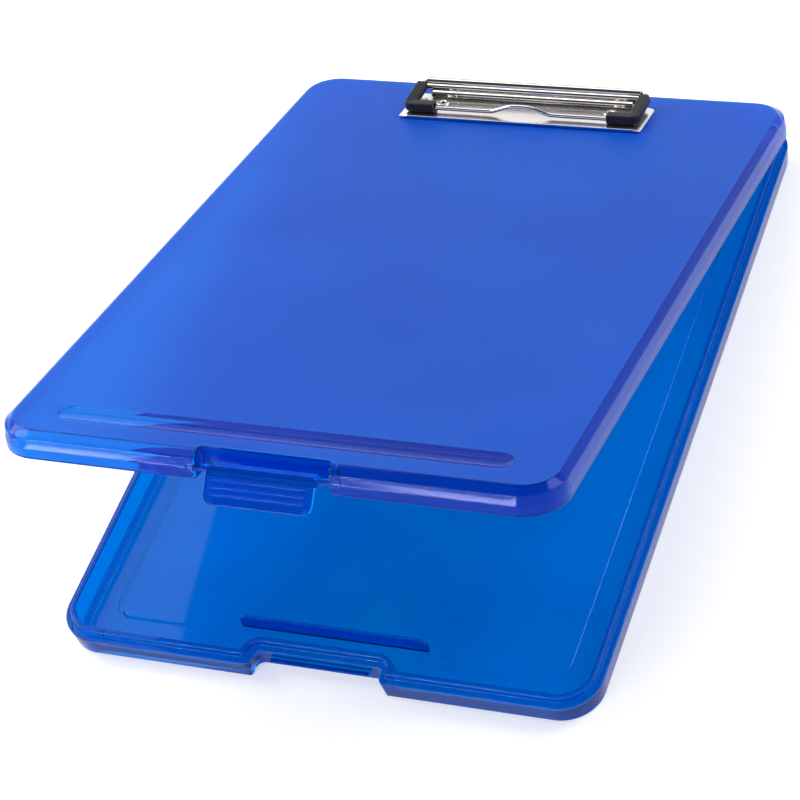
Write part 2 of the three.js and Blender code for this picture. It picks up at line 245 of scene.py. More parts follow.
def cut(piece, *tools):
    return combine(piece, "DIFFERENCE", *tools)


def soften(piece, width, segments=2, angle=32):
    """Rounds a piece's sharp edges."""
    step = piece.modifiers.new("soften", "BEVEL")
    step.width = width
    step.segments = segments
    step.limit_method = "ANGLE"
    step.angle_limit = math.radians(angle)
    return settle(piece)


def finish_piece(piece, place, body, node, slot, *materials):
    """Puts a piece in place, shades it smooth over its flat faces, and sets it on its body."""
    piece.data.transform(Matrix.Scale(MM, 4) @ place)
    for material in materials:
        piece.data.materials.append(material)
    piece.data.shade_smooth()
    piece.data.set_sharp_from_angle(angle=math.radians(38))
    normals = piece.modifiers.new("normals", "WEIGHTED_NORMAL")
    normals.keep_sharp = True
    normals.weight = 90
    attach(piece, body)
    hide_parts(node)


# ---- outlines ----
def arc(x, y, radius, start, end, steps):
    """Points of an arc between two angles given in quarter turns."""
    angles = [math.pi / 2 * (start + (end - start) * i / steps) for i in range(steps + 1)]
    return [(x + radius * math.cos(a), y + radius * math.sin(a)) for a in angles]


def rounded_box(x0, x1, y0, y1, radius, steps=8):
    return [
        *arc(x1 - radius, y0 + radius, radius, -1, 0, steps),
        *arc(x1 - radius, y1 - radius, radius, 0, 1, steps),
        *arc(x0 + radius, y1 - radius, radius, 1, 2, steps),
        *arc(x0 + radius, y0 + radius, radius, 2, 3, steps),
    ]


def case_outline(side, end):
    """The case's plan outline, drawn in from its sides and from its ends."""
    x = HALF_WIDTH - side
    y = HALF_LENGTH - end
    radius = max(CORNER - (side + end) / 2, 2)
    return rounded_box(-x, x, MIDDLE - y, MIDDLE + y, radius, CORNER_STEPS)


def notched_outline(inset):
    """The plan outline with its front edge stepped in round the latch."""
    outer = max(NOTCH_CORNER - inset, 0.3)
    inner = NOTCH_CORNER + inset
    back = NOTCH_HALF - NOTCH_CORNER
    front = FRONT + inset + outer
    step = NOTCH_BACK - NOTCH_CORNER
    meeting = math.asin(max(front - step, 0) / inner)
    start = meeting / (math.pi / 2)
    side = back + inner * math.cos(meeting) + outer
    return [
        *arc(-side, front, outer, -1, 0, 6),
        *arc(-back, step, inner, 2 - start, 1, 10),
        *arc(back, step, inner, 1, start, 10),
        *arc(side, front, outer, 2, 3, 6),
        *case_outline(inset, inset),
    ]


def panel_outline(inset):
    x = PANEL_HALF_WIDTH - inset
    y = PANEL_HALF_LENGTH - inset
    return rounded_box(-x, x, MIDDLE - y, MIDDLE + y, PANEL_CORNER, 12)


def at_height(outline, z):
    return [(x, y, z) for x, y in outline]


def quarter(inset0, z0, inset1, z1, steps, hollow=False):
    """A quarter ellipse of (inset, z) points that leaves upright, or leaves level where hollow."""
    points = []
    for i in range(steps + 1):
        angle = math.pi / 2 * i / steps
        across = 1 - math.cos(angle) if not hollow else math.sin(angle)
        up = math.sin(angle) if not hollow else 1 - math.cos(angle)
        points.append((inset0 + (inset1 - inset0) * across, z0 + (z1 - z0) * up))
    return points


# ---- plain solids ----
def circle(radius, sides, x=0.0, y=0.0):
    angles = [2 * math.pi * i / sides for i in range(sides)]
    return [(x + radius * math.cos(a), y + radius * math.sin(a)) for a in angles]


def capped(outlines, name="tool"):
    """The solid through a list of point rings, closed at both ends."""
    skin = Skin()
    made = skin.rings(outlines)
    skin.cap(made[0])
    skin.cap(made[-1])
    return skin.made(name)


def prism_x(points, x0, x1, name="tool"):
    """An outline in (y, z) carried along X."""
    return capped([[(x, y, z) for y, z in points] for x in (x0, x1)], name)


def prism_y(points, y0, y1, name="tool"):
    """An outline in (x, z) carried along Y."""
    return capped([[(x, y, z) for x, z in points] for y in (y0, y1)], name)


def prism_z(points, z0, z1):
    """An outline in (x, y) carried along Z."""
    return capped([at_height(points, z0), at_height(points, z1)])


def rod_x(radius, x0, x1, y, z, chamfer=0.0, sides=40, name="tool"):
    """A round bar along X, with chamfered ends if asked for."""
    profile = [(x0, radius), (x1, radius)]
    if chamfer:
        tip = radius - chamfer
        profile = [(x0, tip), (x0 + chamfer, radius), (x1 - chamfer, radius), (x1, tip)]
    return capped([[(x, *point) for point in circle(r, sides, y, z)] for x, r in profile], name)


def shaft_z(radius, z0, z1, x, y, sides=40):
    return prism_z(circle(radius, sides, x, y), z0, z1)


def lathe(profile, x, y, name, sides=48):
    """A closed profile in (radius, z), turned about a line along Z."""
    skin = Skin()
    made = skin.rings([at_height(circle(r, sides, x, y), z) for r, z in profile])
    skin.bridge(made[-1], made[0])
    return skin.made(name)


def smooth_line(points, steps):
    """Points along a smooth line through a few given ones."""
    padded = [2 * points[0] - points[1], *points, 2 * points[-1] - points[-2]]
    line = []
    for p0, p1, p2, p3 in zip(padded, padded[1:], padded[2:], padded[3:]):
        knots = [0.0]
        for a, b in ((p0, p1), (p1, p2), (p2, p3)):
            knots.append(knots[-1] + max((b - a).length, 1e-6) ** 0.5)
        t0, t1, t2, t3 = knots
        for i in range(steps):
            t = t1 + (t2 - t1) * i / steps
            a1 = (t1 - t) / (t1 - t0) * p0 + (t - t0) / (t1 - t0) * p1
            a2 = (t2 - t) / (t2 - t1) * p1 + (t - t1) / (t2 - t1) * p2
            a3 = (t3 - t) / (t3 - t2) * p2 + (t - t2) / (t3 - t2) * p3
            b1 = (t2 - t) / (t2 - t0) * a1 + (t - t0) / (t2 - t0) * a2
            b2 = (t3 - t) / (t3 - t1) * a2 + (t - t1) / (t3 - t1) * a3
            line.append((t2 - t) / (t2 - t1) * b1 + (t - t1) / (t2 - t1) * b2)
    line.append(points[-1].copy())
    return line


def sections(line, across, outline):
    """Rings of an outline in (across, up) set square to a line that starts with the given across."""
    rings = []
    for i, here in enumerate(line):
        along = (line[min(i + 1, len(line) - 1)] - line[max(i - 1, 0)]).normalized()
        across = (across - along * across.dot(along)).normalized()
        up = along.cross(across)
        rings.append([here + across * u + up * v for u, v in outline])
    return rings


def shrunk_ends(ring, outward, radius):
    """Rings that round off the end of a wire."""
    centre = sum(ring, Vector()) / len(ring)
    outward = outward.normalized()
    ends = []
    for angle in (0.5, 1.0, 1.35):
        push = outward * radius * 0.6 * math.sin(angle)
        ends.append([centre + (point - centre) * math.cos(angle) + push for point in ring])
    return ends


def wire(line, radius, across, sides, name):
    """Round wire along a line, with rounded ends."""
    body = sections(line, across, circle(radius, sides))
    first = shrunk_ends(body[0], line[0] - line[1], radius)
    last = shrunk_ends(body[-1], line[-1] - line[-2], radius)
    return capped([*reversed(first), *body, *last], name)


# ---- materials ----
class Look:
    """A material in the making: its nodes, its links and its shader."""

    def __init__(self, name):
        self.material = bpy.data.materials.new(name)
        self.material.use_nodes = True
        self.nodes = self.material.node_tree.nodes
        self.links = self.material.node_tree.links
        self.shader = self.nodes["Principled BSDF"]

    def set(self, socket, value):
        self.shader.inputs[socket].default_value = value

    def noise(self, scale, detail=3.0, stretch=(1, 1, 1)):
        """A noise value over the piece's own coordinates, stretched."""
        place = self.nodes.new("ShaderNodeTexCoord")
        mapping = self.nodes.new("ShaderNodeMapping")
        mapping.inputs["Scale"].default_value = stretch
        self.links.new(place.outputs["Object"], mapping.inputs["Vector"])
        texture = self.nodes.new("ShaderNodeTexNoise")
        texture.inputs["Scale"].default_value = scale
        texture.inputs["Detail"].default_value = detail
        self.links.new(mapping.outputs["Vector"], texture.inputs["Vector"])
        return texture.outputs["Fac"]

    def colour(self, value, dark, light):
        """Varies the base colour with a noise value."""
        ramp = self.nodes.new("ShaderNodeValToRGB")
        stops = ramp.color_ramp.elements
        stops[0].position = 0.35
        stops[0].color = (*dark, 1)
        stops[1].position = 0.65
        stops[1].color = (*light, 1)
        self.links.new(value, ramp.inputs["Fac"])
        self.links.new(ramp.outputs["Color"], self.shader.inputs["Base Color"])

    def roughness(self, value, low, high):
        """Varies the roughness with a noise value."""
        remap = self.nodes.new("ShaderNodeMapRange")
        remap.inputs["From Min"].default_value = 0.3
        remap.inputs["From Max"].default_value = 0.7
        remap.inputs["To Min"].default_value = low
        remap.inputs["To Max"].default_value = high
        self.links.new(value, remap.inputs["Value"])
        self.links.new(remap.outputs["Result"], self.shader.inputs["Roughness"])

    def bumps(self, *layers):
        """Stacks bump layers, each a height value, a strength and a depth in metres."""
        below = None
        for height, strength, depth in layers:
            bump = self.nodes.new("ShaderNodeBump")
            bump.inputs["Strength"].default_value = strength
            bump.inputs["Distance"].default_value = depth
            self.links.new(height, bump.inputs["Height"])
            if below:
                self.links.new(below, bump.inputs["Normal"])
            below = bump.outputs["Normal"]
        self.links.new(below, self.shader.inputs["Normal"])

    def absorb(self, colour, density):
        """Makes the material darker the further light travels in it."""
        depth = self.nodes.new("ShaderNodeVolumeAbsorption")
        depth.inputs["Color"].default_value = (*colour, 1)
        depth.inputs["Density"].default_value = density
        self.links.new(depth.outputs["Volume"], self.nodes["Material Output"].inputs["Volume"])


def polished_plastic(name, dark, light):
    """Clear-tinted moulded plastic with a slight waviness and hairline scratches."""
    look = Look(name)
    look.colour(look.noise(14, 2), dark, light)
    scratches = look.noise(900, 2, (1, 0.04, 1))
    look.roughness(scratches, 0.05, 0.09)
    look.set("IOR", 1.28)
    look.set("Specular Tint", (0.6, 0.65, 1.0, 1))
    look.set("Transmission Weight", 0.92)
    look.bumps((look.noise(22, 1), 0.12, 0.0005), (scratches, 0.01, 0.0001))
    look.absorb((0.0, 0.975, 0.99), 2000)
    return look.material


def frosted_plastic():
    """The lid's writing face: blue plastic with a fine even grain."""
    look = Look("frosted_blue_plastic")
    look.colour(look.noise(9, 2), (0.0, 0.11, 0.68), (0.001, 0.135, 0.74))
    grain = look.noise(2600, 3)
    look.roughness(grain, 0.42, 0.55)
    look.set("IOR", 1.5)
    look.set("Transmission Weight", 0.5)
    look.set("Specular IOR Level", 0.12)
    look.set("Specular Tint", (0.2, 0.5, 1.0, 1))
    look.bumps((grain, 0.35, 0.00012))
    return look.material


def nickel_plate(name, smooth, worn):
    """Nickel plating, between its smoothest and its most worn roughness."""
    look = Look(name)
    cloud = look.noise(60, 3)
    look.colour(cloud, (0.78, 0.755, 0.735), (0.84, 0.815, 0.795))
    look.set("Metallic", 1.0)
    look.roughness(look.noise(1500, 2, (0.05, 1, 1)), smooth, worn)
    look.bumps((cloud, 0.02, 0.0003))
    return look.material


def drawn_steel():
    """Plain wire and pins, streaked along their length."""
    look = Look("drawn_steel")
    streaks = look.noise(1200, 3, (0.03, 1, 1))
    look.colour(streaks, (0.36, 0.36, 0.37), (0.52, 0.52, 0.53))
    look.set("Metallic", 1.0)
    look.roughness(streaks, 0.24, 0.38)
    look.bumps((streaks, 0.1, 0.0001))
    return look.material


def soft_rubber():
    """Dull dark rubber with a fine grain."""
    look = Look("slate_rubber")
    cloud = look.noise(160, 3)
    look.colour(cloud, (0.005, 0.006, 0.012), (0.011, 0.011, 0.018))
    grain = look.noise(3200, 3)
    look.roughness(grain, 0.4, 0.55)
    look.set("Specular IOR Level", 0.35)
    look.bumps((cloud, 0.1, 0.0004), (grain, 0.2, 0.00008))
    return look.material


polished = polished_plastic("polished_blue_plastic", (0.0, 0.25, 0.82), (0.0, 0.29, 0.86))
polished_lid = polished_plastic("polished_lid_plastic", (0.0, 0.16, 0.72), (0.0, 0.19, 0.76))
frosted = frosted_plastic()
nickel = nickel_plate("bright_nickel", 0.05, 0.09)
satin_nickel = nickel_plate("satin_nickel", 0.17, 0.24)
steel = drawn_steel()
rubber = soft_rubber()


# ---- tray ----
def knuckle(x0, x1, web):
    """A hinge barrel on its web."""
    barrel = rod_x(KNUCKLE_RADIUS, x0, x1, hinge.y, hinge.z, chamfer=0.3, sides=48)
    return join(barrel, prism_x(web, x0 + 0.3, x1 - 0.3))


def tray_knuckle(x):
    half = MIDDLE_KNUCKLE / 2
    web = [
        (WEB_ROOT, RIM - 5),
        (hinge.y, hinge.z - KNUCKLE_RADIUS),
        (hinge.y, hinge.z),
        (WEB_ROOT, RIM),
    ]
    return knuckle(x - half, x + half, web)


def pin_holes(reach):
    """Bores for both hinge pins, as far as reach to each side of a hinge's middle."""
    return [rod_x(PIN_RADIUS + GAP, x - reach, x + reach, hinge.y, hinge.z) for x in (-HINGE_X, HINGE_X)]


def tray_shell():
    """Outer wall, stepped rim, inner wall, raised floor panel and hollowed underside, as one skin."""
    lip_top = RIM + LIP_RISE
    section = [
        *quarter(1.8, 0, 1.05, 0.8, 4, hollow=True),
        *quarter(0.1, RIM - 0.6, 0.7, RIM, 4),
        *quarter(2.4, RIM, 2.75, RIM + 0.4, 3, hollow=True),
        *quarter(2.9, lip_top - 0.9, 3.7, lip_top, 5),
        *reversed(quarter(5.4, lip_top - 0.8, 4.7, lip_top, 5)),
        *reversed(quarter(9.6, FLOOR, 6.3, FLOOR + 3.4, 7, hollow=True)),
    ]
    skin = Skin()
    walls = skin.rings([at_height(notched_outline(inset), z) for inset, z in section])
    step = [
        *quarter(0, FLOOR, 0.2, FLOOR + 0.5, 2),
        *quarter(0.4, FLOOR + 0.6, 0.9, FLOOR + PANEL_RISE, 4),
    ]
    panel = skin.rings([at_height(panel_outline(inset), z) for inset, z in step])
    skin.fill(walls[-1], panel[0])
    skin.cap(panel[-1])
    under_step = [(0.8, 0), (1.0, 0.15), (1.2, PANEL_RISE - 0.2), (1.6, PANEL_RISE)]
    under = skin.rings([at_height(panel_outline(inset), z) for inset, z in under_step])
    skin.fill(walls[0], under[0])
    skin.cap(under[-1])
    return skin.made("tray_shell")


def pen_partition():
    """The low wall that keeps a pen at the front."""
    front_view = rounded_box(-PARTITION_HALF, PARTITION_HALF, FLOOR - 1, RIM, 3)
    return soften(prism_y(front_view, PARTITION_Y, PARTITION_Y + PARTITION_THICKNESS), 0.45, 3)


def wall_rib(x):
    """A small upright moulding rib inside the front wall."""
    return shaft_z(WALL_RIB_RADIUS, FLOOR + 0.5, RIM + 1, x, FRONT + 6.2, 16)


def catch_ridge():
    """The ridge that the latch flap hooks under."""
    nose = [
        (NOTCH_BACK + 1, 4.2),
        (NOTCH_BACK + 1, 6.8),
        (NOTCH_BACK - 1.6, 6.2),
        (NOTCH_BACK - 2, 5.8),
        (NOTCH_BACK - 2, 5.2),
        (NOTCH_BACK - 1.6, 4.9),
    ]
    return prism_x(nose, -CATCH_HALF, CATCH_HALF)


def base_tray():
    tray = tray_shell()
    join(tray, pen_partition(), catch_ridge(), tray_knuckle(-HINGE_X), tray_knuckle(HINGE_X))
    join(tray, *[wall_rib(x) for x in WALL_RIB_PLACES])
    cut(tray, *pin_holes(MIDDLE_KNUCKLE))
    finish_piece(tray, BASE, "base", "base_tray", "case_gloss", polished)


# ---- lid ----
def lid_knuckle(x0, x1):
    web = [
        (hinge.y, hinge.z),
        (hinge.y, hinge.z + KNUCKLE_RADIUS),
        (WEB_ROOT, LID_BOTTOM + 5.2),
        (WEB_ROOT, LID_BOTTOM),
    ]
    return knuckle(x0, x1, web)


def groove_outline(inset):
    """A slot with round ends, a hair short of half circles so that no two points coincide."""
    half_width = GROOVE_WIDTH / 2 - inset
    half = GROOVE_HALF - inset
    return rounded_box(-half, half, GROOVE_Y - half_width, GROOVE_Y + half_width, half_width * 0.999, 14)


def lid_outline(across):
    """The lid's outline part of the way over its rounded edge, which is narrower at the sides."""
    return case_outline(across * BEVEL_SIDE, across * BEVEL_FRONT)


def lid_edge():
    """The lid's polished edge: a steep face, a rounded turn and a shallow slope up to the flat top."""
    points = [(0, BEVEL_DROP), (0.015, BEVEL_DROP - 0.3), (0.04, BEVEL_DROP - 0.6)]
    for i in range(9):
        angle = math.radians(18 + 42 * i / 8)
        points.append((0.37 - 0.22 * math.cos(angle - 0.3), 3.1 - 1.5 * math.sin(angle - 0.3)))
    points += [(0.42, 1.5), (0.7, 0.72), (0.93, 0.12), (0.97, 0.03), (1, 0)]
    return points


def lid_shell():
    """Outer skin with its rounded edge and pen groove, and the hollow inside, as one skin."""
    skin = Skin()
    rim = [(0.35, LID_BOTTOM), (0.12, LID_BOTTOM + 0.12), (0, LID_BOTTOM + 0.5)]
    edge = [(across, LID_TOP - drop) for across, drop in lid_edge()]
    lower = [at_height(case_outline(inset, inset), z) for inset, z in rim]
    upper = [at_height(lid_outline(across), z) for across, z in edge]
    outer = skin.rings(lower + upper)
    floor_inset = GROOVE_WIDTH / 2 - 0.4
    dip = [(floor_inset * i / 8, GROOVE_DEPTH * math.sin(math.pi / 2 * i / 8) ** 0.8) for i in range(9)]
    groove = skin.rings([at_height(groove_outline(inset), LID_TOP - depth) for inset, depth in dip])
    skin.fill(outer[-1], groove[0])
    skin.cap(groove[-1])

    ceiling = LID_TOP - LID_THICKNESS
    hollow = [(1.9, LID_BOTTOM), (2.1, LID_BOTTOM + 0.4), *quarter(2.1, LID_TOP - 6, 6.5, ceiling, 8)]
    inner = skin.rings([at_height(case_outline(inset, inset), z) for inset, z in hollow])
    boss = [(-1.6, ceiling), (-1.3, ceiling - 0.3), (-1.1, ceiling - GROOVE_DEPTH)]
    under = skin.rings([at_height(groove_outline(inset), z) for inset, z in boss])
    skin.fill(inner[-1], under[0])
    skin.cap(under[-1])
    skin.bridge(outer[0], inner[0])
    return skin.made("lid_shell")


def notch_mouth():
    """The room cut out for the latch, flared round its two outer corners."""
    mouth = NOTCH_HALF + NOTCH_FLARE
    right = [
        (mouth, FRONT - 6),
        *arc(mouth, FRONT + NOTCH_FLARE, NOTCH_FLARE, 3, 2, 8),
        *arc(NOTCH_HALF - NOTCH_CORNER, NOTCH_BACK - NOTCH_CORNER, NOTCH_CORNER, 0, 1, 8),
    ]
    return [*right, *[(-x, y) for x, y in reversed(right)]]


def rivet_holes(z0, z1):
    return [shaft_z(RIVET_SHANK + GAP, z0, z1, x, RIVET_Y) for x in (-RIVET_X, RIVET_X)]


def lid_panel():
    """The lid with its latch notch and hinge knuckles, frosted on its flat top only."""
    lid = lid_shell()
    liner_half = NOTCH_HALF + NOTCH_WALL
    liner = rounded_box(-liner_half, liner_half, FRONT + 1.5, NOTCH_BACK + NOTCH_WALL, 3)
    inner = MIDDLE_KNUCKLE / 2 + GAP
    outer = inner + OUTER_KNUCKLE
    knuckles = []
    for x in (-HINGE_X, HINGE_X):
        knuckles += [lid_knuckle(x - outer, x - inner), lid_knuckle(x + inner, x + outer)]
    join(lid, prism_z(liner, LID_BOTTOM, LID_TOP - 1), *knuckles)
    notch = prism_z(notch_mouth(), LID_BOTTOM - 2, LID_TOP + 2)
    peg_reach = NOTCH_HALF + 2 * NOTCH_WALL
    peg_holes = rod_x(PEG_RADIUS + GAP, -peg_reach, peg_reach, latch.y, latch.z)
    cut(lid, notch, peg_holes, *pin_holes(30), *rivet_holes(LID_BOTTOM, LID_TOP + 1))
    for face in lid.data.polygons:
        on_top = face.center.z > LID_TOP - 0.01 and face.normal.z > 0.99
        face.material_index = 1 if on_top else 0
    finish_piece(lid, LID, "lid", "lid_panel", "lid_frosted", polished_lid, frosted)


# ---- latch ----
def latch_flap():
    """A ribbed plate hung from a barrel with two pegs, with a hook along its foot."""
    half = FLAP_HALF
    face = latch.y - FLAP_BARREL_RADIUS
    foot = latch.z - FLAP_DROP
    front_view = [
        (half, latch.z),
        (-half, latch.z),
        *arc(-half + FLAP_CORNER, foot + FLAP_CORNER, FLAP_CORNER, 2, 3, 10),
        *arc(half - FLAP_CORNER, foot + FLAP_CORNER, FLAP_CORNER, 3, 4, 10),
    ]
    flap = soften(prism_y(front_view, face, face + FLAP_THICKNESS, "latch_flap_shell"), 0.5, 3)
    side_view = [
        (face + 0.6, foot + 0.1),
        (face + HOOK_REACH, foot + 0.1),
        (face + HOOK_REACH, foot + 2.2),
        (face + FLAP_THICKNESS, foot + 3),
        (face + 0.6, foot + 3),
    ]
    hook = prism_x(side_view, -half + 4, half - 4)
    barrel = rod_x(FLAP_BARREL_RADIUS, -half, half, latch.y, latch.z, chamfer=0.4, sides=48)
    peg_end = NOTCH_HALF + 1.6
    pegs = rod_x(PEG_RADIUS, -peg_end, peg_end, latch.y, latch.z, chamfer=0.3)
    ribs = []
    for drop in FLAP_RIB_DROPS:
        height = latch.z - drop
        ribs.append(rod_x(FLAP_RIB_RADIUS, -half + 2.5, half - 3.5, face + 0.05, height, 0.4, 24))
    join(flap, barrel, pegs, hook, *ribs)
    finish_piece(flap, LATCH, "latch", "latch_flap", "case_gloss", polished)


# ---- hinge pins ----
def hinge_pin(name, x):
    half = MIDDLE_KNUCKLE / 2 + GAP + OUTER_KNUCKLE - 1
    pin = rod_x(PIN_RADIUS, x - half, x + half, hinge.y, hinge.z, 0.35, 32, name + "_bar")
    finish_piece(pin, BASE, "base", name, "steel", steel)


# ---- clip, fixed pieces ----
def base_plate():
    """A pressed plate with sloped edges, and the tongue and ears that hold the pivot rod."""
    half = PLATE_HALF
    rear = PLATE_FRONT + PLATE_DEPTH

    def layer(slope, front, z):
        box = rounded_box(-half + slope, half - slope, PLATE_FRONT + front, rear - front, 1.5)
        return at_height(box, z)

    skin = Skin()
    low = LID_TOP + GAP
    over = [
        (0.1, 0.5, low),
        (0, 0.45, low + 0.12),
        (0.05, 0.3, low + 0.6),
        (0.4, 0.2, low + 0.85),
        (3.1, 0, PLATE_TOP - 0.35),
        (3.5, 0.08, PLATE_TOP - 0.1),
        (3.9, 0.35, PLATE_TOP),
    ]
    outer = skin.rings([layer(*place) for place in over])
    skin.cap(outer[-1])
    below = [(SHEET, SHEET, low), (3.4, 1.2, PLATE_TOP - SHEET - 0.3), (4.2, 1.8, PLATE_TOP - SHEET)]
    inner = skin.rings([layer(*place) for place in below])
    skin.cap(inner[-1])
    skin.bridge(outer[0], inner[0])
    plate = skin.made("clip_plate_sheet")

    tongue = rounded_box(-EAR_X - SHEET, EAR_X + SHEET, rear - 2, clip.y + 4.5, 1)
    ear = [
        (clip.y - 2.8, low),
        (clip.y + 2.8, low),
        *arc(clip.y, clip.z, EAR_RADIUS, 0, 2, 14),
    ]
    ears = [prism_x(ear, x, x + SHEET) for x in (-EAR_X - SHEET, EAR_X)]
    join(plate, prism_z(tongue, low, low + SHEET), *ears)
    rod_hole = rod_x(ROD_RADIUS + GAP, -half, half, clip.y, clip.z)
    cut(plate, rod_hole, *rivet_holes(LID_TOP, PLATE_TOP + 1))
    finish_piece(plate, LID, "lid", "clip_base_plate", "nickel", satin_nickel)


def pivot_rod():
    rod = rod_x(ROD_RADIUS, -ROD_HALF, ROD_HALF, clip.y, clip.z, 0.3, 32, "clip_rod_bar")
    finish_piece(rod, LID, "lid", "clip_pivot_rod", "steel", steel)


def torsion_spring(name, x):
    """A wound spring round the rod, with a short leg forward under the rod at each end."""
    half = SPRING_HALF
    radius = SPRING_RADIUS - SPRING_WIRE
    steps = SPRING_TURNS * 20
    line = [Vector((x - half, clip.y - 2.2, clip.z - radius))]
    for i in range(steps + 1):
        angle = 2 * math.pi * i / 20 - math.pi / 2
        along = x - half + 2 * half * i / steps
        line.append(Vector((along, clip.y + radius * math.cos(angle), clip.z + radius * math.sin(angle))))
    line.append(Vector((x + half, clip.y - 1.4, clip.z - radius)))
    coil = wire(line, SPRING_WIRE, Vector((1, 0, 0)), 10, name + "_coil")
    finish_piece(coil, LID, "lid", name, "steel", steel)


def hollow_rivet(name, x):
    """A tube with a rolled head on the plate and a flat tail closed over the washer."""
    head = PLATE_TOP + GAP
    tail = LID_TOP - LID_THICKNESS - 2 * GAP - SHEET
    rolled_head = []
    mouth = []
    for i in range(5):
        angle = math.pi / 2 * i / 4
        rolled_head.append((RIVET_HEAD - 0.45 * i / 4, head + 0.9 * math.sin(angle)))
        mouth.append((RIVET_BORE + 0.9 - 0.9 * math.sin(angle), head + 0.4 + 0.5 * math.cos(angle)))
    profile = [
        (RIVET_BORE, tail - 0.5),
        (RIVET_BORE + 0.4, tail - 0.8),
        (RIVET_HEAD - 0.6, tail - 0.8),
        (RIVET_HEAD, tail - 0.4),
        (RIVET_HEAD, tail),
        (RIVET_SHANK, tail),
        (RIVET_SHANK, head),
        *rolled_head,
        *mouth,
    ]
    rivet = lathe(profile, x, RIVET_Y, name + "_tube")
    finish_piece(rivet, LID, "lid", name, "nickel", nickel)


def rivet_washer(name, x):
    high = LID_TOP - LID_THICKNESS - GAP
    low = high - SHEET
    hole = RIVET_SHANK + GAP
    edge = 0.2
    profile = [
        (hole, low),
        (WASHER_RADIUS - edge, low),
        (WASHER_RADIUS, low + edge),
        (WASHER_RADIUS, high - edge),
        (WASHER_RADIUS - edge, high),
        (hole, high),
    ]
    washer = lathe(profile, x, RIVET_Y, name + "_ring")
    finish_piece(washer, LID, "lid", name, "nickel", nickel)


# ---- clip, moving pieces ----
def strip(line, x0, x1, name):
    """Sheet metal: a centre line in (y, z) thickened to both sides, carried along X."""
    sides = {-1: [], 1: []}
    for i, (y, z) in enumerate(line):
        before = Vector(line[max(i - 1, 0)])
        after = Vector(line[min(i + 1, len(line) - 1)])
        along = (after - before).normalized()
        for sign, side in sides.items():
            side.append((y - sign * along.y * SHEET / 2, z + sign * along.x * SHEET / 2))
    return prism_x([*sides[-1], *reversed(sides[1])], x0, x1, name)


def clip_lever():
    """The ribbed face that rises to a rolled edge, and the cheeks that turn on the rod."""
    foot = PLATE_TOP + GAP + 0.1
    rolled = ROLL_RADIUS - SHEET / 2
    rise = ROLL.z - foot
    face = []
    for i in range(41):
        t = i / 40
        wave = 0.35 * math.sin(t * 4 * math.pi - math.pi / 2)
        face.append((clip.y - 5.2 + t * (5 - rolled) - wave * 0.8, foot + t * rise + wave * 0.4))
    roll = []
    for i in range(36):
        angle = math.pi - (i + 1) / 36 * 1.55 * math.pi
        roll.append((ROLL.y + rolled * math.cos(angle), ROLL.z + rolled * math.sin(angle)))
    lever = strip([*face, *roll], -LEVER_HALF, LEVER_HALF, "clip_lever_sheet")
    front = clip.y - 7
    rear = clip.y + 3
    over_ear = clip.z + EAR_RADIUS + 0.2
    ear_room = [(front, LID_TOP), (rear, LID_TOP), (rear, over_ear), (front, over_ear)]
    room_start = EAR_X - 0.6
    room_end = LEVER_HALF + 7
    cut(lever, prism_x(ear_room, room_start, room_end), prism_x(ear_room, -room_end, -room_start))
    cheek = [
        (clip.y - 4.9, foot),
        (clip.y - 1.4, foot),
        (clip.y + 0.9, clip.z - 1.7),
        (clip.y + 2.2, clip.z),
        (clip.y + 1.6, clip.z + 2),
        (clip.y - 2.6, ROLL.z - 1),
    ]
    join(lever, *[prism_x(cheek, x, x + SHEET) for x in (-CHEEK_X - SHEET, CHEEK_X)])
    cut(lever, rod_x(ROD_RADIUS + GAP, -room_end, room_end, clip.y, clip.z))
    soften(lever, 0.12, 2)
    finish_piece(lever, LID, "jaw", "clip_lever", "nickel", nickel)


def bail_line():
    """The bail from its end inside the roll on the left to the same end on the right."""
    bend = 1.6
    slope = BAIL_SLOPE

    def place(x, along, up):
        return Vector((x, BAR.y + along, BAR.z + up))

    arm = ROLL.y - BAR.y
    right = [
        place(0, 0, 3.2),
        place(5, 0, 2.9),
        place(10, 0, 1.4),
        place(14, 0, 0.2),
        place(18, 0, 0),
        place(36, 0, 0),
        place(ARM_X - 2 * bend, 0, 0),
        place(ARM_X - 0.5 * bend, 0.3 * bend, 0.3 * bend * slope),
        place(ARM_X, 1.6 * bend, 1.6 * bend * slope),
        place(ARM_X, arm / 2, arm / 2 * slope),
        place(ARM_X, arm - 1.6, (arm - 1.6) * slope),
        place(ARM_X - 0.5, arm - 0.3, arm * slope - 0.1),
        place(ARM_X - 1.8, arm, arm * slope),
        place(ARM_X - 10, arm, arm * slope),
        place(ARM_X - 25, arm, arm * slope),
    ]
    left = [Vector((-p.x, p.y, p.z)) for p in reversed(right[1:])]
    return left + right


def clip_bail():
    line = smooth_line(bail_line(), 8)
    bail = wire(line, WIRE_RADIUS, Vector((0, 1, 0)), 20, "clip_bail")
    finish_piece(bail, LID, "jaw", "clip_bail_wire", "nickel", nickel)


